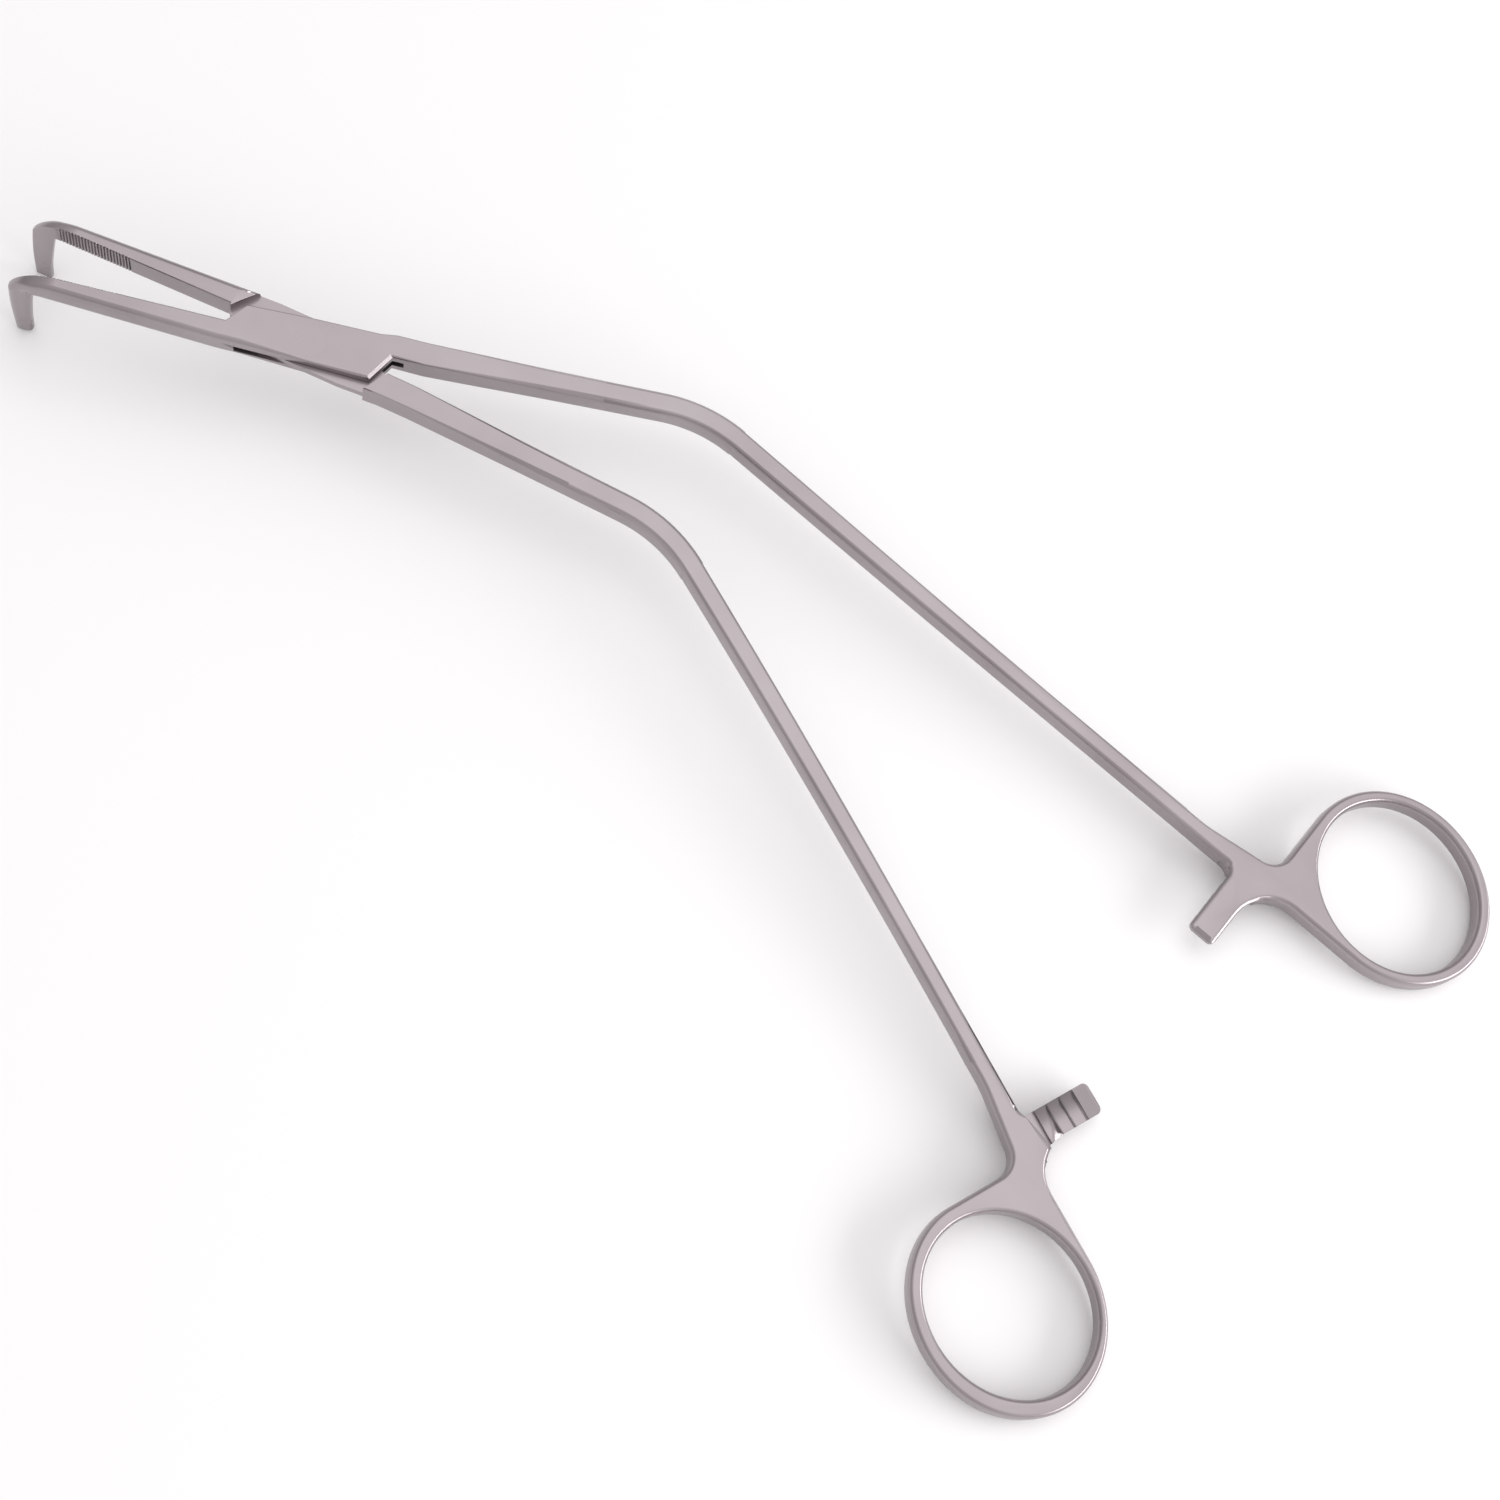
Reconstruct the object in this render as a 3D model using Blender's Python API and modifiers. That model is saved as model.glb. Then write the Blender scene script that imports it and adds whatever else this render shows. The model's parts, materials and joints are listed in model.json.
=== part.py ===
"""Prostatectomy clamp: two forged halves crossing in a riveted box lock.

Metres, +Z up. Each half is modelled in the closed clamp's plane: the lock pin
is the origin, the closed jaws meet on the X axis and point to -X, and the
handles run to +X. The box half has its jaw on the -Y side and its handle on the
+Y side, and the tongue half is the mirror image with its own lock, bend and
ring. The halves are then opened about the pin and the clamp is laid down the
way it comes to rest, on the longer of its bent tips and both finger rings.
"""

import math
from dataclasses import dataclass

import bmesh
import bpy
from mathutils import Matrix, Vector
from mathutils.bvhtree import BVHTree

# Bar stock and the gaps left where the halves meet.
THICKNESS = 0.0044
MEETING_GAP = 0.0001
EDGE_BREAK = 0.0002

# Jaws: a D section, flat on the inside, with tips bent at right angles.
JAW_END = 0.0423
JAW_ROUND_ACROSS = 0.0011
JAW_ROUND_DEEP = 0.0015
JAW_ROUND_START = 0.0090
TIP_INSIDE_RADIUS = 0.0005
TIP_BACK = 0.0473
TIP_BELLY = 0.0002
TIP_CORNER_RADIUS = 0.0086
TIP_ROOT_WIDTH = 0.0016
TIP_END_WIDTH = 0.0014
TIP_END_DEPTH = 0.0027
TIP_TAPER_POWER = 1.2
TIP_END_FLAT = 0.5

# Serrations across the inner faces of the jaws.
SERRATION_START = 0.0300
SERRATION_END = 0.0418
SERRATION_PITCH = 0.00052
SERRATION_DEPTH = 0.00022
SERRATION_OVERCUT = 1.2
SERRATION_FILL = 0.96

# Box lock: cheeks, slot, tongue, shoulders and pin.
LOCK_HALF_WIDTH = 0.0039
LOCK_NEAR_WIDTH = 0.0034
LOCK_CORNER_WIDTH = 0.0037
CHEEK_CORNER_IN = 0.0103
CHEEK_CORNER_OUT = 0.0129
CHEEK_CORNER_WIDTH = 0.0034
TONGUE_THICKNESS = 0.0013
TONGUE_PLAY = 0.0001
TONGUE_REACH = 0.0130
TONGUE_SIDE_REACH = 0.0066
TONGUE_TIP_OFFSET = 0.00045
TONGUE_BACK_WIDTH = 0.0044
SLOT_END_GAP = 0.0017
SLOT_WIDTH_FACTOR = 1.5
SHOULDER_GAP = 0.0003
PIN_RADIUS = 0.0020
PIN_HEAD_RADIUS = 0.0026
PIN_HEAD_DEPTH = 0.0005
PIN_FIT = 0.00005
PIN_SIDES = 48

# Shanks.
SHANK_START = 0.0178
SHANK_CHAMFER = 0.0007
SHANK_BEND_WIDTH = 0.0035
SHANK_NECK_WIDTH = 0.00265
BEND_RADIUS = 0.0240

# Handle ends: neck, ratchet bar and finger ring. Distances along the handle are
# measured from the foot of the ring's centre on the shank's centre line.
NECK_START = 0.0330
NECK_OVERLAP = 0.0030
NECK_SEAM = 0.00002
NECK_FLARE_START = 0.0290
NECK_FLARE_RADIUS = 0.0200
NECK_SHOULDER_OFFSET = 0.0032
NECK_SHOULDER_RADIUS = 0.0034
BAR_REACH = 0.0135
BAR_ROOT_RADIUS = 0.0015
BAR_WEB_RADIUS = 0.0066
BAR_CORNER_RADIUS = 0.0009
BAR_STEP_OFFSET = 0.0022
BAR_STEP_ANGLE = math.radians(12.0)
TOOTH_COUNT = 4
TOOTH_PITCH = 0.00227
TOOTH_DEPTH = 0.0007
TOOTH_CLEARANCE = 0.0001
TEETH_START = 0.0040

# How far each half is turned from closed as it lies, half of the opening each.
REST_OPENING = math.radians(11.3)
ROLLS_TO_REST = 20

ARC_STEPS = 8
RING_STEPS = 96
CORNER_STEPS = 5
TIP_STEPS = 5
JAW_STEPS = 10
SHANK_STEPS = 4
TIP_END_STEPS = 4
BEND_STEPS = 12
SMOOTH_BELOW = math.radians(30.0)

# Colour of the steel, and how rough each of its finishes is.
STEEL = (0.50, 0.475, 0.49)
SATIN = 0.32
GROUND = 0.28


@dataclass
class Half:
    """The sizes in which the two halves differ."""

    name: str
    side: int
    jaw_start: float
    jaw_start_width: float
    jaw_end_width: float
    inner_at_start: float
    inner_at_end: float
    tip_drop: float
    tip_lean: float
    shank_offset: float
    shank_start_width: float
    shank_angle: float
    bend_distance: float
    bend_angle: float
    shank_bow: float
    handle_length: float
    bar_distance: float
    bar_width: float
    ring_offset: float
    ring_length: float
    ring_width: float
    ring_tilt: float
    hole_offset: float
    hole_length: float
    hole_width: float
    hole_tilt: float


BOX = Half(
    name="box_half",
    side=1,
    jaw_start=0.0138,
    jaw_start_width=0.0034,
    jaw_end_width=0.0021,
    inner_at_start=0.00005,
    inner_at_end=-0.00005,
    tip_drop=0.0139,
    tip_lean=0.0007,
    shank_offset=0.00264,
    shank_start_width=0.0038,
    shank_angle=math.radians(2.86),
    bend_distance=0.0620,
    bend_angle=math.radians(-31.7),
    shank_bow=0.0002,
    handle_length=0.1298,
    bar_distance=0.01935,
    bar_width=0.0046,
    ring_offset=0.0142,
    ring_length=0.0324,
    ring_width=0.0284,
    ring_tilt=math.radians(-14.3),
    hole_offset=0.0142,
    hole_length=0.0282,
    hole_width=0.0247,
    hole_tilt=math.radians(-16.7),
)
TONGUE = Half(
    name="tongue_half",
    side=-1,
    jaw_start=0.0132,
    jaw_start_width=0.0035,
    jaw_end_width=0.00185,
    inner_at_start=-0.0005,
    inner_at_end=-0.00005,
    tip_drop=0.0149,
    tip_lean=0.0,
    shank_offset=0.00151,
    shank_start_width=0.0038,
    shank_angle=math.radians(2.51),
    bend_distance=0.0621,
    bend_angle=math.radians(35.45),
    shank_bow=0.0005,
    handle_length=0.1264,
    bar_distance=0.01965,
    bar_width=0.0051,
    ring_offset=0.01465,
    ring_length=0.0326,
    ring_width=0.0282,
    ring_tilt=math.radians(-2.5),
    hole_offset=0.0143,
    hole_length=0.0279,
    hole_width=0.0242,
    hole_tilt=math.radians(-11.3),
)


def clear_scene():
    for obj in list(bpy.data.objects):
        bpy.data.objects.remove(obj, do_unlink=True)


def make_collection(name):
    collection = bpy.data.collections.new(name)
    bpy.context.scene.collection.children.link(collection)
    return collection


def steel(name, roughness):
    material = bpy.data.materials.new(name)
    material.use_nodes = True
    shader = material.node_tree.nodes["Principled BSDF"]
    shader.inputs["Base Color"].default_value = (*STEEL, 1.0)
    shader.inputs["Metallic"].default_value = 1.0
    shader.inputs["Roughness"].default_value = roughness
    return material


def blend(value, start, end, at_start, at_end):
    """at_start below start, at_end above end, and a straight run between them."""
    share = min(max((value - start) / (end - start), 0.0), 1.0)
    return at_start + (at_end - at_start) * share


def spread(start, end, count):
    return [start + (end - start) * step / count for step in range(count + 1)]


def rounded_outline(corners):
    """Points of a polyline of (x, y, radius) corners, each rounded by an arc."""
    points = []
    for index, (x, y, radius) in enumerate(corners):
        here = Vector((x, y))
        if radius == 0.0:
            points.append(here)
            continue
        before = Vector(corners[index - 1][:2])
        after = Vector(corners[(index + 1) % len(corners)][:2])
        back = (before - here).normalized()
        ahead = (after - here).normalized()
        half_angle = back.angle(ahead) / 2
        centre = here + (back + ahead).normalized() * radius / math.sin(half_angle)
        first = here + back * radius / math.tan(half_angle) - centre
        sweep = (math.pi - 2 * half_angle) * math.copysign(1, back.cross(ahead)) * -1
        for share in spread(0.0, 1.0, ARC_STEPS):
            points.append(centre + Matrix.Rotation(sweep * share, 2) @ first)
    return points


def ellipse(length, width, tilt, centre, start, sweep, steps):
    """Points of an ellipse from one angle on, its long axis turned by tilt."""
    turn = Matrix.Rotation(tilt, 2)
    points = []
    for angle in spread(start, start + sweep, steps):
        local = Vector((math.cos(angle) * length / 2, math.sin(angle) * width / 2))
        points.append(centre + turn @ local)
    return points


def tangent_angle(length, width, tilt, direction):
    """The ellipse's own angle at its farthest point in the given direction."""
    local = Matrix.Rotation(-tilt, 2) @ direction
    return math.atan2(local.y * width, local.x * length)


def section(low, high, bottom, top, corners, squareness):
    """A bar's section as (across, up) points, anticlockwise from its low bottom.

    corners gives (across, up) sizes of the low-bottom, high-bottom, high-top and
    low-top corners. A squareness of 2 rounds them and one of 1 chamfers them.
    """
    places = (
        (low, bottom, 1, 1, 180),
        (high, bottom, -1, 1, 270),
        (high, top, -1, -1, 0),
        (low, top, 1, -1, 90),
    )
    points = []
    for (x, y, inward_x, inward_y, start), (wide, tall) in zip(places, corners):
        for angle in spread(start, start + 90, CORNER_STEPS):
            c = math.cos(math.radians(angle))
            s = math.sin(math.radians(angle))
            across = math.copysign(abs(c) ** (2 / squareness), c)
            up = math.copysign(abs(s) ** (2 / squareness), s)
            points.append((
                x + inward_x * wide + across * wide,
                y + inward_y * tall + up * tall,
            ))
    return points


def loft(name, rings):
    """A closed body through rings of points that run round one after another."""
    mesh = bpy.data.meshes.new(name)
    shape = bmesh.new()
    loops = [[shape.verts.new(point) for point in ring] for ring in rings]
    for near, far in zip(loops, loops[1:]):
        for index in range(len(near)):
            after = (index + 1) % len(near)
            shape.faces.new((near[index], near[after], far[after], far[index]))
    shape.faces.new(loops[0])
    shape.faces.new(loops[-1])
    bmesh.ops.remove_doubles(shape, verts=shape.verts, dist=MEETING_GAP / 100)
    bmesh.ops.recalc_face_normals(shape, faces=shape.faces)
    shape.to_mesh(mesh)
    shape.free()
    return mesh


def inner_face(half, x):
    """Where a jaw has its inner face at x: it draws back a little towards the lock."""
    return blend(-x, half.jaw_start, JAW_END, half.inner_at_start, half.inner_at_end)


def outer_side(half, x):
    """Where a jaw has its outer side at x."""
    width = blend(-x, half.jaw_start, JAW_END, half.jaw_start_width, half.jaw_end_width)
    return inner_face(half, x) - width


def tip_ring(half, origin, outward, depth, width, fill):
    """One ring of a tip, from origin along outward, drawn in from all sides by fill."""
    outer = (width * JAW_ROUND_ACROSS / half.jaw_end_width,
             depth * JAW_ROUND_DEEP / THICKNESS)
    plain = (EDGE_BREAK, EDGE_BREAK)
    corners = [(across * fill, up * fill) for across, up in (outer, plain, plain, outer)]
    inset = (1 - fill) / 2
    inner = half.inner_at_end
    flat = section(inner - width * (1 - inset), inner - width * inset,
                   depth * inset, depth * (1 - inset), corners, 2)
    return [origin + Vector((0, across, 0)) + outward * up for across, up in flat]


def tip_top(x):
    """Height of the jaw's top at x, falling off in the round of the tip's corner."""
    past = max(TIP_CORNER_RADIUS - TIP_BACK - x, 0.0)
    return THICKNESS / 2 - TIP_CORNER_RADIUS + math.sqrt(TIP_CORNER_RADIUS ** 2 - past ** 2)


def tip_rings(half):
    """Rings of the bent tip, from its end up to the end of the straight jaw."""
    under = -THICKNESS / 2
    inside = Vector((-JAW_END, 0.0, under - TIP_INSIDE_RADIUS))
    round_centre = Vector((TIP_CORNER_RADIUS - TIP_BACK, 0.0, THICKNESS / 2 - TIP_CORNER_RADIUS))
    arm = inside - round_centre

    def reach(outward):
        """How far the corner's round lies from the inside of the bend."""
        along = arm.dot(outward)
        return math.sqrt(along ** 2 - arm.length_squared + TIP_CORNER_RADIUS ** 2) - along

    behind = Vector((-1.0, 0.0, 0.0))
    root_front = inside.x - TIP_INSIDE_RADIUS
    root_back = inside.x - reach(behind)
    end = under - half.tip_drop
    end_front = half.tip_lean + TIP_END_DEPTH - TIP_BACK
    rings = []
    # The rounded end, then the taper up to the bend.
    for angle in spread(0.0, math.pi / 2, TIP_END_STEPS):
        rise = TIP_END_DEPTH / 2 * (1 - math.sin(angle))
        fill = TIP_END_FLAT + (1 - TIP_END_FLAT) * math.sin(angle)
        origin = Vector((end_front, 0.0, end + rise))
        rings.append(tip_ring(half, origin, behind, TIP_END_DEPTH, TIP_END_WIDTH, fill))
    for share in spread(0.0, 1.0, TIP_STEPS)[1:]:
        front = blend(share ** TIP_TAPER_POWER, 0.0, 1.0, end_front, root_front)
        belly = TIP_BELLY * 4 * share * (1 - share)
        back = blend(share, 0.0, 1.0, half.tip_lean - TIP_BACK, root_back) - belly
        width = blend(share, 0.0, 1.0, TIP_END_WIDTH, TIP_ROOT_WIDTH)
        z = blend(share, 0.0, 1.0, end + TIP_END_DEPTH / 2, inside.z)
        rings.append(tip_ring(half, Vector((front, 0.0, z)), behind, front - back, width, 1.0))
    # The bend, turned about the inside of the corner.
    for angle in spread(math.pi / 2, 0.0, ARC_STEPS)[1:]:
        outward = Vector((-math.sin(angle), 0.0, math.cos(angle)))
        width = blend(math.sin(angle), 0.0, 1.0, half.jaw_end_width, TIP_ROOT_WIDTH)
        origin = inside + outward * TIP_INSIDE_RADIUS
        depth = reach(outward) - TIP_INSIDE_RADIUS
        rings.append(tip_ring(half, origin, outward, depth, width, 1.0))
    return rings


def straight_ring(x, low, high, outer_round, chamfer, squareness):
    half = THICKNESS / 2
    outer = (
        blend(outer_round, 0.0, 1.0, chamfer, JAW_ROUND_ACROSS),
        blend(outer_round, 0.0, 1.0, chamfer, JAW_ROUND_DEEP),
    )
    plain = (chamfer, chamfer)
    flat = section(low, high, -half, half, (outer, plain, plain, outer), squareness)
    return [Vector((x, across, up)) for across, up in flat]


def jaw_rings(half):
    """Rings of the straight jaw, from the bend to the start of the lock."""
    outer = (JAW_ROUND_ACROSS, JAW_ROUND_DEEP)
    plain = (EDGE_BREAK, EDGE_BREAK)
    round_end = TIP_CORNER_RADIUS - TIP_BACK
    places = spread(-JAW_END, round_end, TIP_STEPS)[1:]
    places += spread(round_end, -half.jaw_start, JAW_STEPS)[1:]
    rings = []
    for x in places:
        flat = section(outer_side(half, x), inner_face(half, x), -THICKNESS / 2, tip_top(x),
                       (outer, plain, plain, outer), 2)
        rings.append([Vector((x, across, up)) for across, up in flat])
    return rings


def lock_rings(outline):
    """Rings of the lock's full outline, from (x, low side, high side) places."""
    rings = []
    for x, low, high in outline:
        roundness = blend(x, -JAW_ROUND_START, 0.0, 1.0, 0.0)
        rings.append(straight_ring(x, low, high, roundness, EDGE_BREAK, 2))
    return rings


def shank_rings(half):
    """Rings of the shank: straight, bent, and straight again to the neck."""
    first = Vector((math.cos(half.shank_angle), math.sin(half.shank_angle)))
    turn = half.bend_angle
    second = Matrix.Rotation(turn, 2) @ first
    start = Vector((SHANK_START, half.shank_offset))
    bend = start + first * (half.bend_distance - SHANK_START) / first.x
    tangent = BEND_RADIUS * math.tan(abs(turn) / 2)
    inside = Vector((-first.y, first.x)) * math.copysign(1, turn)
    centre = bend - first * tangent + inside * BEND_RADIUS
    end = bend + second * (half.handle_length - NECK_START + NECK_OVERLAP)
    places = [(start + (bend - first * tangent - start) * share, 0.0)
              for share in spread(0.0, 1.0, SHANK_STEPS)]
    for share in spread(0.0, 1.0, BEND_STEPS)[1:]:
        arm = Matrix.Rotation(turn * share, 2) @ (-inside * BEND_RADIUS)
        places.append((centre + arm, turn * share))
    last = bend + second * tangent
    aside = Vector((second.y, -second.x)) * half.shank_bow
    for share in spread(0.0, 1.0, BEND_STEPS)[1:]:
        bow = 4 * share * (1 - share)
        places.append((last + (end - last) * share + aside * bow, turn))
    rings = []
    travel = 0.0
    bend_travel = (bend - start).length
    whole = bend_travel + (end - bend).length
    previous = start
    for point, angle in places:
        travel += (point - previous).length
        previous = point
        if travel < bend_travel:
            width = blend(travel, 0.0, bend_travel, half.shank_start_width, SHANK_BEND_WIDTH)
        else:
            width = blend(travel, bend_travel, whole, SHANK_BEND_WIDTH, SHANK_NECK_WIDTH)
        chamfer = blend(travel, 0.0, bend_travel / 2, EDGE_BREAK, SHANK_CHAMFER)
        squareness = blend(travel, 0.0, bend_travel / 2, 2.0, 1.0)
        corner = (chamfer, chamfer)
        inset = blend(travel, bend_travel, whole, 0.0, NECK_SEAM)
        side = width / 2 - inset
        top = THICKNESS / 2 - inset
        flat = section(-side, side, -top, top, (corner,) * 4, squareness)
        heading = half.shank_angle + angle
        across = Vector((-math.sin(heading), math.cos(heading)))
        rings.append([
            Vector((point.x + across.x * a, point.y + across.y * a, up)) for a, up in flat
        ])
    return rings


def handle_frame(half):
    """Where the ring centre's foot on the shank lies, and the shank's heading."""
    heading = half.shank_angle + half.bend_angle
    start = Vector((SHANK_START, half.shank_offset))
    run = (half.bend_distance - SHANK_START) / math.cos(half.shank_angle)
    bend = start + Vector((math.cos(half.shank_angle), math.sin(half.shank_angle))) * run
    foot = bend + Vector((math.cos(heading), math.sin(heading))) * half.handle_length
    return Matrix.Translation((foot.x, foot.y, 0.0)) @ Matrix.Rotation(heading, 4, "Z")


def handle_outline(half):
    """Outer outline of neck, ring and ratchet bar, and the ring's hole."""
    centre = Vector((0.0, half.ring_offset))
    outer = (half.ring_length, half.ring_width, half.ring_tilt)
    left = tangent_angle(*outer, Vector((-1, 0)))
    foot = tangent_angle(*outer, Vector((0, -1)))
    sweep = (foot - left) % (2 * math.pi) - 2 * math.pi
    arc = ellipse(*outer, centre, left, sweep, RING_STEPS)
    neck = SHANK_NECK_WIDTH / 2
    bar_near = -half.bar_distance - half.bar_width / 2
    bar_far = -half.bar_distance + half.bar_width / 2
    corners = [
        (arc[-1].x, arc[-1].y, 0.0),
        (bar_far, arc[-1].y, BAR_WEB_RADIUS),
        (bar_far, -BAR_REACH, BAR_CORNER_RADIUS),
        (bar_near, -BAR_REACH, BAR_CORNER_RADIUS),
        (bar_near, -neck, BAR_ROOT_RADIUS),
        (-NECK_START, -neck, 0.0),
        (-NECK_START, neck, 0.0),
        (-NECK_FLARE_START, neck, NECK_FLARE_RADIUS),
        (arc[0].x, NECK_SHOULDER_OFFSET, NECK_SHOULDER_RADIUS),
        (arc[0].x, arc[0].y, 0.0),
    ]
    outline = rounded_outline(corners)[1:-1] + arc
    hole = ellipse(half.hole_length, half.hole_width, half.hole_tilt,
                   Vector((0.0, half.hole_offset)), 0.0, 2 * math.pi, RING_STEPS)[:-1]
    return outline, hole


def filled_plate(name, outlines, thickness, chamfer):
    """A flat plate with chamfered edges from closed outlines, as a mesh."""
    curve = bpy.data.curves.new(name, "CURVE")
    curve.dimensions = "2D"
    curve.fill_mode = "BOTH"
    curve.extrude = thickness / 2 - chamfer
    curve.bevel_depth = chamfer
    curve.bevel_resolution = 0
    curve.offset = -chamfer
    for outline in outlines:
        spline = curve.splines.new("POLY")
        spline.points.add(len(outline) - 1)
        for place, point in zip(spline.points, outline):
            place.co = (point[0], point[1], 0.0, 1.0)
        spline.use_cyclic_u = True
    holder = bpy.data.objects.new(name, curve)
    bpy.context.scene.collection.objects.link(holder)
    graph = bpy.context.evaluated_depsgraph_get()
    mesh = bpy.data.meshes.new_from_object(holder.evaluated_get(graph))
    bpy.data.objects.remove(holder, do_unlink=True)
    bpy.data.curves.remove(curve)
    shape = bmesh.new()
    shape.from_mesh(mesh)
    bmesh.ops.remove_doubles(shape, verts=shape.verts, dist=MEETING_GAP / 100)
    bmesh.ops.recalc_face_normals(shape, faces=shape.faces)
    shape.to_mesh(mesh)
    shape.free()
    return mesh


def add_object(name, mesh, collection, material=None):
    obj = bpy.data.objects.new(name, mesh)
    collection.objects.link(obj)
    if material:
        mesh.materials.clear()
        mesh.materials.append(material)
    return obj


def add_cutter(name, mesh, collection):
    obj = add_object(name, mesh, collection)
    obj.hide_render = True
    obj.display_type = "WIRE"
    return obj


def transform_mesh(mesh, matrix):
    """Moves the mesh, and keeps its faces pointing out if the matrix mirrors."""
    mesh.transform(matrix)
    if matrix.determinant() < 0:
        mesh.flip_normals()


def boolean(target, cutter, operation):
    """Joins or cuts the target with a helper that stays in the target's frame."""
    cutter.parent = target
    modifier = target.modifiers.new(cutter.name, "BOOLEAN")
    modifier.operation = operation
    modifier.solver = "EXACT"
    modifier.object = cutter


def prism(name, points, bottom, top):
    """An upright prism on an anticlockwise polygon of (x, y) points."""
    return loft(name, [[Vector((x, y, z)) for x, y in points] for z in (bottom, top)])


def serration_cutter(name, half):
    """Three-sided prisms standing in the inner face, one for each groove."""
    shape = bmesh.new()
    # A three-sided prism is 1.5 radii high and root 3 radii wide.
    radius = SERRATION_DEPTH * SERRATION_OVERCUT / 1.5
    widen = SERRATION_PITCH * SERRATION_FILL / (math.sqrt(3) * radius)
    for index in range(int((SERRATION_END - SERRATION_START) / SERRATION_PITCH) + 1):
        x = -SERRATION_START - index * SERRATION_PITCH
        place = (
            Matrix.Translation((x, inner_face(half, x) - SERRATION_DEPTH + radius, 0.0))
            @ Matrix.Diagonal((widen, 1.0, 1.0, 1.0))
            @ Matrix.Rotation(-math.pi / 2, 4, "Z")
        )
        bmesh.ops.create_cone(
            shape, cap_ends=True, segments=3, radius1=radius, radius2=radius,
            depth=THICKNESS + 2 * SERRATION_DEPTH, matrix=place,
        )
    bmesh.ops.recalc_face_normals(shape, faces=shape.faces)
    mesh = bpy.data.meshes.new(name)
    shape.to_mesh(mesh)
    shape.free()
    return mesh


def ratchet_cutter(name, half):
    """What is milled off the bar: half its thickness, and the saw teeth.

    Made in the handle's frame: the tongue half's bar keeps its lower half, and
    the box half's its upper half.
    """
    level = -TOOTH_CLEARANCE
    # The bar's section along its length, from the outermost tooth back to the step.
    teeth = [(-BAR_REACH * 2, THICKNESS), (-BAR_REACH * 2, level)]
    for index in reversed(range(TOOTH_COUNT)):
        root = -TEETH_START - index * TOOTH_PITCH
        teeth += [(root - TOOTH_PITCH, level), (root, level - TOOTH_DEPTH), (root, level)]
    rings = []
    for aside in (-half.bar_width, half.bar_width):
        x = aside - half.bar_distance
        step = -BAR_STEP_OFFSET - aside * math.tan(BAR_STEP_ANGLE)
        profile = teeth + [(step, level), (step, THICKNESS)]
        rings.append([Vector((x, y, z)) for y, z in profile])
    mesh = loft(name, rings)
    if half is BOX:
        transform_mesh(mesh, Matrix.Diagonal((1.0, 1.0, -1.0, 1.0)))
    return mesh


def pin_profile(grow, overshoot):
    """Half section of the riveted pin, from its top centre to its bottom one."""
    half = THICKNESS / 2
    slope = (PIN_HEAD_RADIUS - PIN_RADIUS) / PIN_HEAD_DEPTH
    head = PIN_HEAD_RADIUS + grow + overshoot * slope
    return [
        (0.0, half + overshoot),
        (head, half + overshoot),
        (PIN_RADIUS + grow, half - PIN_HEAD_DEPTH),
        (PIN_RADIUS + grow, PIN_HEAD_DEPTH - half),
        (head, -half - overshoot),
        (0.0, -half - overshoot),
    ]


def turned(name, profile, collection):
    mesh = bpy.data.meshes.new(name)
    mesh.from_pydata([(x, 0.0, z) for x, z in profile],
                     [(i, i + 1) for i in range(len(profile) - 1)], [])
    obj = bpy.data.objects.new(name, mesh)
    collection.objects.link(obj)
    screw = obj.modifiers.new("turn", "SCREW")
    screw.axis = "Z"
    screw.angle = 2 * math.pi
    screw.steps = PIN_SIDES
    screw.render_steps = PIN_SIDES
    screw.use_merge_vertices = True
    screw.merge_threshold = MEETING_GAP / 100
    return obj


def box_inner_edge():
    """Where the box half's shank has its inner side as it leaves the lock."""
    return BOX.shank_offset - BOX.shank_start_width / 2


def box_outline():
    """The box's cheeks: a bar with two slanted corners, one at each end."""
    return [
        (-CHEEK_CORNER_OUT, outer_side(BOX, -CHEEK_CORNER_OUT),
         inner_face(BOX, -CHEEK_CORNER_OUT)),
        (-CHEEK_CORNER_IN, outer_side(BOX, -CHEEK_CORNER_IN), CHEEK_CORNER_WIDTH),
        (-JAW_ROUND_START / 2, -LOCK_NEAR_WIDTH, LOCK_HALF_WIDTH - EDGE_BREAK),
        (0.0, -LOCK_NEAR_WIDTH, LOCK_HALF_WIDTH),
        (CHEEK_CORNER_IN, -LOCK_CORNER_WIDTH, LOCK_HALF_WIDTH + EDGE_BREAK),
        (CHEEK_CORNER_OUT, box_inner_edge(), BOX.shank_offset + BOX.shank_start_width / 2),
    ]


def tongue_outline():
    """The tongue: its ends slant off where the slot's end walls stand."""
    return [
        (-TONGUE_REACH, outer_side(TONGUE, -TONGUE_REACH), TONGUE_TIP_OFFSET),
        (-TONGUE_SIDE_REACH, -TONGUE_BACK_WIDTH, LOCK_HALF_WIDTH),
        (0.0, -TONGUE_BACK_WIDTH, LOCK_HALF_WIDTH),
        (TONGUE_SIDE_REACH, -LOCK_HALF_WIDTH, LOCK_HALF_WIDTH),
        (TONGUE_REACH, -TONGUE_TIP_OFFSET, TONGUE.shank_offset + TONGUE.shank_start_width / 2),
    ]


def slot_polygon():
    """The slot's plan: open at both sides, with a slanted wall at each end."""
    end = TONGUE_REACH + SLOT_END_GAP
    wide = LOCK_HALF_WIDTH * SLOT_WIDTH_FACTOR
    slope = (LOCK_HALF_WIDTH - TONGUE_TIP_OFFSET) / (TONGUE_REACH - TONGUE_SIDE_REACH)
    tip = TONGUE_TIP_OFFSET + SLOT_END_GAP / 2
    side = end - (wide - tip) / slope
    return [(-end, wide), (-end, -tip), (-side, -wide), (end, -wide), (end, tip), (side, wide)]


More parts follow.
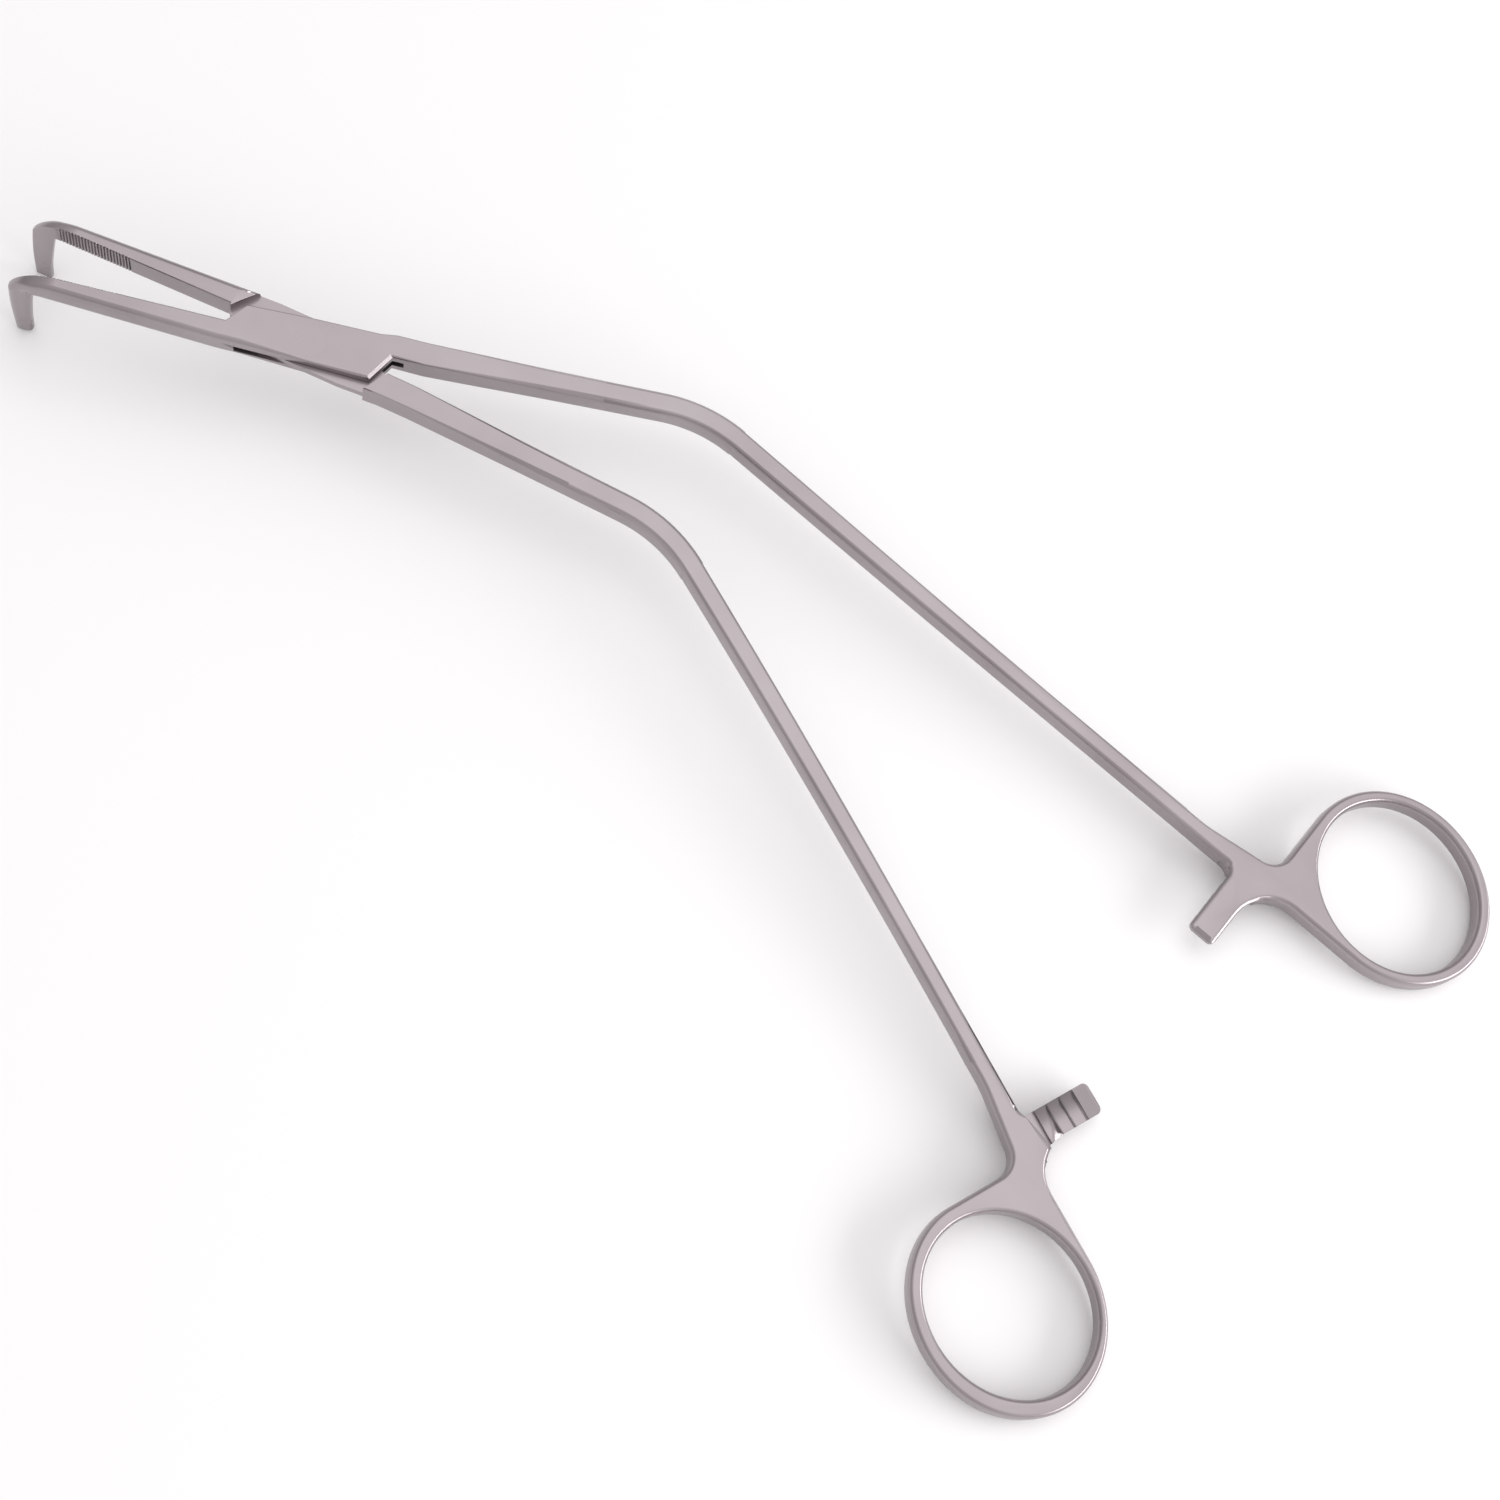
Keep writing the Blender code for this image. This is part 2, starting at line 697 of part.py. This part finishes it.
def shoulder_polygon():
    """What is milled off the tongue half's faces: all between its shoulders."""
    gap = Vector((SHOULDER_GAP, 0.0))
    left_low = Vector((-CHEEK_CORNER_OUT, 0.0)) - gap
    left_high = Vector((-CHEEK_CORNER_IN, CHEEK_CORNER_WIDTH)) - gap
    right_low = Vector((CHEEK_CORNER_IN, -LOCK_CORNER_WIDTH)) + gap
    right_high = Vector((CHEEK_CORNER_OUT, box_inner_edge())) + gap
    left_run = left_high - left_low
    right_run = right_high - right_low
    return [
        left_low - left_run * 2,
        right_low - right_run,
        right_high + right_run,
        left_high + left_run,
    ]


def shade(mesh):
    """Smooth faces, with the edges between flat sides left sharp."""
    mesh.shade_smooth()
    mesh.set_sharp_from_angle(angle=SMOOTH_BELOW)


def make_half(half, outline, collection, cutters):
    mirror = Matrix.Diagonal((1.0, half.side, 1.0, 1.0))
    rings = tip_rings(half) + jaw_rings(half) + lock_rings(outline) + shank_rings(half)
    mesh = loft(half.name, rings)
    transform_mesh(mesh, mirror)
    shade(mesh)
    obj = add_object(half.name, mesh, collection, steel(half.name + "_satin_steel", SATIN))
    frame = mirror @ handle_frame(half)

    plate = filled_plate(half.name + "_handle", handle_outline(half), THICKNESS, SHANK_CHAMFER)
    transform_mesh(plate, frame)
    shade(plate)
    boolean(obj, add_cutter(half.name + "_handle", plate, cutters), "UNION")

    grooves = serration_cutter(half.name + "_serrations", half)
    transform_mesh(grooves, mirror)
    boolean(obj, add_cutter(half.name + "_serrations", grooves, cutters), "DIFFERENCE")

    teeth = ratchet_cutter(half.name + "_ratchet", half)
    transform_mesh(teeth, frame)
    boolean(obj, add_cutter(half.name + "_ratchet", teeth, cutters), "DIFFERENCE")
    return obj


def lay_down(root, parts):
    """Rolls the clamp over until it lies still, and sets it on the floor.

    It lies still on the side of its convex hull that its centre of mass is over.
    """
    graph = bpy.context.evaluated_depsgraph_get()
    hull = bmesh.new()
    centre = Vector()
    whole = 0.0
    for obj in parts:
        evaluated = obj.evaluated_get(graph)
        mesh = evaluated.to_mesh()
        mesh.transform(evaluated.matrix_world)
        mesh.calc_loop_triangles()
        for vertex in mesh.vertices:
            hull.verts.new(vertex.co)
        for triangle in mesh.loop_triangles:
            a, b, c = (mesh.vertices[index].co for index in triangle.vertices)
            volume = a.cross(b).dot(c)
            centre += (a + b + c) / 4 * volume
            whole += volume
        evaluated.to_mesh_clear()
    centre /= whole
    bmesh.ops.convex_hull(hull, input=hull.verts)
    sides = BVHTree.FromBMesh(hull)
    floor = Vector((0.0, 0.0, -1.0))
    down = floor
    for _ in range(ROLLS_TO_REST):
        normal = sides.ray_cast(centre, down)[1]
        down = normal * math.copysign(1, normal.dot(down))
    turn = down.rotation_difference(floor)
    points = [turn @ vertex.co for vertex in hull.verts]
    hull.free()
    low = Vector([min(point[axis] for point in points) for axis in range(3)])
    high = Vector([max(point[axis] for point in points) for axis in range(3)])
    root.rotation_euler = turn.to_euler()
    root.location = (-(low.x + high.x) / 2, -(low.y + high.y) / 2, -low.z)


def make_clamp():
    clear_scene()
    parts = make_collection("prostatectomy_clamp")
    cutters = make_collection("cutters")
    box = make_half(BOX, box_outline(), parts, cutters)
    tongue = make_half(TONGUE, tongue_outline(), parts, cutters)

    slot_half = TONGUE_THICKNESS / 2 + TONGUE_PLAY
    slot = prism("slot", slot_polygon(), -slot_half, slot_half)
    boolean(box, add_cutter("slot", slot, cutters), "DIFFERENCE")
    for name, bottom, top in (
        ("recess_top", TONGUE_THICKNESS / 2, THICKNESS),
        ("recess_bottom", -THICKNESS, -TONGUE_THICKNESS / 2),
    ):
        recess = prism(name, shoulder_polygon(), bottom, top)
        boolean(tongue, add_cutter(name, recess, cutters), "DIFFERENCE")

    for half in (box, tongue):
        hole = turned(half.name + "_pin_hole", pin_profile(PIN_FIT, PIN_HEAD_DEPTH), cutters)
        hole.hide_render = True
        hole.display_type = "WIRE"
        boolean(half, hole, "DIFFERENCE")
    pin = turned("lock_pin", pin_profile(0.0, 0.0), parts)
    pin.data.materials.append(steel("lock_pin_ground_steel", GROUND))

    root = bpy.data.objects.new("clamp_frame", None)
    parts.objects.link(root)
    for obj, turn in ((box, REST_OPENING / 2), (tongue, -REST_OPENING / 2), (pin, 0.0)):
        obj.parent = root
        obj.rotation_euler.z = turn
    bpy.context.view_layer.update()
    lay_down(root, (box, tongue, pin))


make_clamp()
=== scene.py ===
"""Looks of the prostatectomy clamp: satin stainless steel on a pale studio floor.

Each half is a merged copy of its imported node. Its ratchet teeth are turned to
hook the right way, its handle edges are rounded, and it is shaded smooth, so
that bends and rings read as ground metal and not as facets.
"""

import json
import math

import bmesh
import bpy
from mathutils import Matrix, Vector


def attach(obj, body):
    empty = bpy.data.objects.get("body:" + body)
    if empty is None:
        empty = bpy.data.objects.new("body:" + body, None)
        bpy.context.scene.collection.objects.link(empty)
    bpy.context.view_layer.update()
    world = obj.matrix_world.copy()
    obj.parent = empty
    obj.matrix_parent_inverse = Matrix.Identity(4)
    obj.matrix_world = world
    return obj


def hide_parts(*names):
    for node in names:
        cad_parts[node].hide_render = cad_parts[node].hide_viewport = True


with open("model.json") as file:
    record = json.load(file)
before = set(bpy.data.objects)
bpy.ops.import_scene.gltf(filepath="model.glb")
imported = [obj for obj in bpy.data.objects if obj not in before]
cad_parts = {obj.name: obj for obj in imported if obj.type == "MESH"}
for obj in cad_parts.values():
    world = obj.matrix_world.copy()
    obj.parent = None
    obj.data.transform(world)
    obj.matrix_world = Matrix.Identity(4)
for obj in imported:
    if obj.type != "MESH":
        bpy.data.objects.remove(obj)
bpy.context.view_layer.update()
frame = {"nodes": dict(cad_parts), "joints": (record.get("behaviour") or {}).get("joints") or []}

MM = 0.001

# The lock: its pin, the axis it turns about, and two directions across that axis.
HINGE = frame["joints"][0]
PIN = Vector(HINGE["pos_m"])
UP = Vector(HINGE["axis"]).normalized()
LOCK_Y = UP.cross(Vector((1, 0, 0))).normalized()
LOCK_X = LOCK_Y.cross(UP)

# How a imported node's loose triangles are merged into whole faces, and shaded. The
# facets of bends and rings and the 45 degree chamfers flow into each other, and
# sharper edges stay crisp.
MERGE_DISTANCE = 0.002 * MM
FLAT_WITHIN = math.radians(0.2)
SMOOTH_BELOW = math.radians(50)

# Ratchet teeth: how far from the pin they start, and how high their crests and
# valleys are over the lock's middle plane.
BAR_REACH = 150 * MM
TOOTH_CREST = 0.1 * MM
TOOTH_VALLEY = 0.8 * MM

# Rounded handle edges: past the lock and clear of the ratchet bar, where a 45 degree
# chamfer meets an upright side.
HANDLE_REACH = 70 * MM
BAR_CLEARANCE = 10.5 * MM
HANDLE_ROUND = 0.4 * MM
HANDLE_ROUND_STEPS = 3
UPRIGHT_WITHIN = 0.1
CHAMFER_TURN_LEAST = math.radians(38)
CHAMFER_TURN_MOST = math.radians(52)

# Box lock: the ends of the slanted shoulder, measured from the pin across the lock,
# the chamfer ground on it, and the heads of the pin.
HALF_THICKNESS = 2.2 * MM
EDGE_BREAK = 0.2 * MM
SHOULDER_ENDS = (Vector((10.61, -2.67)) * MM, Vector((12.77, 2.02)) * MM)
SHOULDER_CORNER_REACH = 0.4 * MM
SHOULDER_CORNER_DEPTH = 0.204 * MM
SHOULDER_CHAMFER_WIDTH = 0.5 * MM
SHOULDER_CHAMFER_DEPTH = 0.35 * MM
SHOULDER_CHAMFER_LEAN_LEAST = 0.3
SHOULDER_CHAMFER_LEAN_MOST = 0.9
RIVET_HEAD_RADIUS = 2.645 * MM

# Surface of the steel. Blasting and satin grinding leave marks about 0.05 mm wide,
# too fine to show in the render, so the grain is drawn at 0.35 mm. Tone and gloss
# drift over 22 mm, about one stroke of the polisher's hand.
GRAIN_WIDTH = 0.35 * MM
GRAIN_DEPTH = 0.02 * MM
STROKE_LENGTH = 22 * MM

# Camera, measured from the pin's place on top of the lock: where it stands, and how
# it is turned. The lens gives the photograph's field of view.
SENSOR_WIDTH = 36.0
LENS_LENGTH = 60.96
NEAREST_VIEW = 0.01
LOCK_TOP = Vector((0.0, 0.0, 2.2)) * MM
CAMERA_STAND = Vector((89.93, -149.29, 360.06)) * MM
CAMERA_SWING = math.radians(-12.02)
CAMERA_PITCH = math.radians(19.5)
CAMERA_ROLL = math.radians(30.0)

# Studio: a floor sheet in metres, and the side towards which the room is brightest,
# overhead and to the photograph's right.
FLOOR_SIZE = 12.0
BRIGHT_SIDE = (0.55, -0.1, 0.83)


def linear(code):
    """An sRGB hex colour as the linear RGBA that Blender's sockets take."""
    parts = [int(code[place:place + 2], 16) / 255 for place in (1, 3, 5)]
    curved = [c / 12.92 if c <= 0.04045 else ((c + 0.055) / 1.055) ** 2.4 for c in parts]
    return (*curved, 1.0)


def node(tree, kind, links=(), **settings):
    """Adds a node: settings name its fields or its sockets, and links its input wires."""
    made = tree.nodes.new(kind)
    for name, value in settings.items():
        if hasattr(made, name):
            setattr(made, name, value)
        else:
            made.inputs[name.replace("_", " ")].default_value = value
    for socket, source in dict(links).items():
        tree.links.new(source, made.inputs[socket])
    return made


def steel_material(name, dark, light, rough_low, rough_high, grain_strength):
    """Stainless steel whose tone and gloss drift slowly, under a fine grain."""
    material = bpy.data.materials.new(name)
    material.use_nodes = True
    tree = material.node_tree
    shader = tree.nodes["Principled BSDF"]
    place = node(tree, "ShaderNodeTexCoord").outputs["Object"]
    drift = node(tree, "ShaderNodeTexNoise", {"Vector": place},
                 Scale=1 / STROKE_LENGTH, Detail=3.0, Roughness=0.55)
    grain = node(tree, "ShaderNodeTexNoise", {"Vector": place},
                 Scale=1 / GRAIN_WIDTH, Detail=2.0, Roughness=0.6)
    tone = node(tree, "ShaderNodeMix", {"Factor": drift.outputs["Fac"]}, data_type="RGBA")
    tone.inputs["A"].default_value = linear(dark)
    tone.inputs["B"].default_value = linear(light)
    rough = node(tree, "ShaderNodeMapRange", {"Value": drift.outputs["Fac"]},
                 From_Min=0.3, From_Max=0.7, To_Min=rough_low, To_Max=rough_high)
    bump = node(tree, "ShaderNodeBump", {"Height": grain.outputs["Fac"]},
                Strength=grain_strength, Distance=GRAIN_DEPTH)
    tree.links.new(tone.outputs["Result"], shader.inputs["Base Color"])
    tree.links.new(rough.outputs["Result"], shader.inputs["Roughness"])
    tree.links.new(bump.outputs["Normal"], shader.inputs["Normal"])
    shader.inputs["Metallic"].default_value = 1.0
    return material


def height(corner):
    """A corner's height over the lock's middle plane."""
    return (corner.co - PIN).dot(UP)


def across(corner):
    """A corner's place in the lock's plane, from the pin."""
    offset = corner.co - PIN
    return Vector((offset.dot(LOCK_X), offset.dot(LOCK_Y)))


def turn_teeth(shape):
    """Turns the ratchet teeth over, to hook towards their own handle and hold the bars.

    Returns the corners of the teeth.
    """
    teeth = [
        corner for corner in shape.verts
        if (corner.co - PIN).length > BAR_REACH
        and TOOTH_CREST / 2 < abs(height(corner)) < TOOTH_VALLEY + TOOTH_CREST / 2
    ]
    for corner in teeth:
        turned = math.copysign(TOOTH_CREST + TOOTH_VALLEY, height(corner)) - height(corner)
        corner.co += UP * (turned - height(corner))
    return teeth


def round_handle(shape, teeth):
    """Rounds the outer edge of the handle's chamfers, as polishing wears it.

    It stops at the ratchet bar, whose middle is that of its teeth.
    """
    bar = sum((corner.co for corner in teeth), Vector()) / len(teeth)
    edges = []
    for edge in shape.edges:
        if len(edge.link_faces) != 2:
            continue
        middle = (edge.verts[0].co + edge.verts[1].co) / 2
        if (middle - PIN).length < HANDLE_REACH or (middle - bar).length < BAR_CLEARANCE:
            continue
        meets_side = any(
            abs(face.normal.dot(UP)) < UPRIGHT_WITHIN for face in edge.link_faces
        )
        if meets_side and CHAMFER_TURN_LEAST < edge.calc_face_angle() < CHAMFER_TURN_MOST:
            edges.append(edge)
    bmesh.ops.bevel(
        shape, geom=edges, offset=HANDLE_ROUND, segments=HANDLE_ROUND_STEPS,
        profile=0.5, affect="EDGES", clamp_overlap=False,
    )


def chamfer_shoulder(shape):
    """Grinds a bright flat chamfer on the box's slanted shoulder, above and below.

    The edge break there becomes the chamfer, and its borders are kept sharp.
    """
    start, end = SHOULDER_ENDS
    run = (end - start).normalized()
    outward = LOCK_X * run.y - LOCK_Y * run.x
    moved = set()
    for corner in shape.verts:
        near = min((across(corner) - place).length for place in SHOULDER_ENDS)
        drop = HALF_THICKNESS - abs(height(corner))
        if near > SHOULDER_CORNER_REACH or drop > SHOULDER_CORNER_DEPTH:
            continue
        inset = (start - across(corner)).dot(Vector((run.y, -run.x)))
        share = drop / EDGE_BREAK
        corner.co += outward * (inset - SHOULDER_CHAMFER_WIDTH * (1 - share))
        sink = SHOULDER_CHAMFER_DEPTH * share - drop
        corner.co -= UP * math.copysign(sink, height(corner))
        moved.add(corner)
    shape.normal_update()
    chamfers = {
        face for face in shape.faces
        if moved.issuperset(face.verts)
        and SHOULDER_CHAMFER_LEAN_LEAST < face.normal.dot(outward)
        < SHOULDER_CHAMFER_LEAN_MOST
    }
    for face in chamfers:
        for edge in face.edges:
            edge.smooth = chamfers.issuperset(edge.link_faces)


def finish_tongue(shape):
    """Works over the tongue half."""
    round_handle(shape, turn_teeth(shape))


def finish_box(shape):
    """Works over the box half."""
    round_handle(shape, turn_teeth(shape))
    chamfer_shoulder(shape)


def spread_rivet(shape):
    """Spreads the pin's two heads until they fill their countersinks."""
    for corner in shape.verts:
        if HALF_THICKNESS - abs(height(corner)) < EDGE_BREAK:
            place = across(corner)
            grow = place * (RIVET_HEAD_RADIUS / place.length - 1)
            corner.co += LOCK_X * grow.x + LOCK_Y * grow.y


def finished_copy(name, source, body, material, finish):
    """A merged, smoothly shaded copy of a CAD node, which stands for it.

    finish is the function that works its mesh over.
    """
    piece = bpy.data.objects.new(name, frame["nodes"][source].data.copy())
    bpy.context.scene.collection.objects.link(piece)
    shape = bmesh.new()
    shape.from_mesh(piece.data)
    bmesh.ops.remove_doubles(shape, verts=shape.verts, dist=MERGE_DISTANCE)
    bmesh.ops.dissolve_limit(
        shape, angle_limit=FLAT_WITHIN, verts=shape.verts, edges=shape.edges
    )
    finish(shape)
    shape.to_mesh(piece.data)
    shape.free()
    bpy.ops.object.select_all(action="DESELECT")
    piece.select_set(True)
    bpy.context.view_layer.objects.active = piece
    bpy.ops.object.shade_smooth_by_angle(angle=SMOOTH_BELOW)
    flats = piece.modifiers.new("flats_stay_flat", "WEIGHTED_NORMAL")
    flats.keep_sharp = True
    bpy.ops.object.modifier_apply(modifier=flats.name)
    piece.data.materials.clear()
    piece.data.materials.append(material)
    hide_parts(source)
    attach(piece, body)


def add_light(name, place, size, power):
    """Adds a rectangular soft light that faces the middle of the floor."""
    light = bpy.data.lights.new(name, "AREA")
    light.shape = "RECTANGLE"
    light.size, light.size_y = size
    light.energy = power
    holder = bpy.data.objects.new(name, light)
    bpy.context.scene.collection.objects.link(holder)
    holder.location = place
    holder.rotation_euler = (-Vector(place)).to_track_quat("-Z", "Y").to_euler()


# Satin stainless steel: the forged halves, blasted with beads and brushed by hand. The
# eye gets a soft, slightly mauve grey that mirrors nothing clearly, with bright lines
# only where an edge turns to the light.
satin = steel_material(
    "satin_stainless_steel", "#8c8386", "#b5aeb1",
    rough_low=0.25, rough_high=0.36, grain_strength=0.25,
)

# Ground stainless steel: the pin's heads, ground flush and brushed with the cheeks. The
# eye gets the cheeks' grey with less drift, so that the pin hardly shows.
ground = steel_material(
    "ground_stainless_steel", "#978e91", "#a8a2a5",
    rough_low=0.24, rough_high=0.32, grain_strength=0.2,
)

finished_copy("box_half_finished", "box_half", "box", satin, finish_box)
finished_copy(
    "tongue_half_finished", "tongue_half", "tongue", satin, finish_tongue
)
finished_copy("lock_pin_finished", "lock_pin", "box", ground, spread_rivet)

# Floor: matt white paper, which shows nothing but a soft shadow.
bpy.ops.mesh.primitive_plane_add(size=FLOOR_SIZE, location=(0, 0, 0))
floor = bpy.context.object
floor.name = "studio_floor"
sheet = bpy.data.materials.new("matt_white_sheet")
sheet.use_nodes = True
paper = sheet.node_tree.nodes["Principled BSDF"]
paper.inputs["Base Color"].default_value = linear("#f6f5f5")
paper.inputs["Roughness"].default_value = 0.9
floor.data.materials.append(sheet)

# Camera: where the photograph was taken from.
camera = bpy.data.objects.new("camera", bpy.data.cameras.new("camera"))
bpy.context.scene.collection.objects.link(camera)
bpy.context.scene.camera = camera
camera.data.sensor_width = SENSOR_WIDTH
camera.data.lens = LENS_LENGTH
camera.data.clip_start = NEAREST_VIEW
lock_lie = Vector((0, 0, 1)).rotation_difference(UP).to_matrix().to_4x4()
camera.matrix_world = (
    Matrix.Translation(PIN) @ lock_lie @ Matrix.Translation(LOCK_TOP)
    @ Matrix.Rotation(CAMERA_SWING, 4, "Z")
    @ Matrix.Translation(CAMERA_STAND)
    @ Matrix.Rotation(CAMERA_PITCH, 4, "X")
    @ Matrix.Rotation(CAMERA_ROLL, 4, "Z")
)

# Light: a white room, brighter towards one side, a soft box overhead, and a low strip
# at the photograph's right, which the edges that lean there catch.
world = bpy.data.worlds.new("white_room")
bpy.context.scene.world = world
world.use_nodes = True
room = world.node_tree
backdrop = room.nodes["Background"]
backdrop.inputs["Color"].default_value = linear("#fdfbfc")
side = node(room, "ShaderNodeVectorMath",
            {"Vector": node(room, "ShaderNodeTexCoord").outputs["Generated"]},
            operation="DOT_PRODUCT")
side.inputs[1].default_value = BRIGHT_SIDE
brightness = node(room, "ShaderNodeMapRange", {"Value": side.outputs["Value"]},
                  From_Min=-0.55, From_Max=1.0, To_Min=0.45, To_Max=1.0)
room.links.new(brightness.outputs["Result"], backdrop.inputs["Strength"])
add_light("overhead_soft_box", place=(0.05, 0.25, 0.9), size=(0.9, 0.7), power=1.3)
add_light("side_strip", place=(0.65, -0.05, 0.26), size=(0.8, 0.24), power=3.1)

bpy.context.scene.view_settings.view_transform = "Standard"
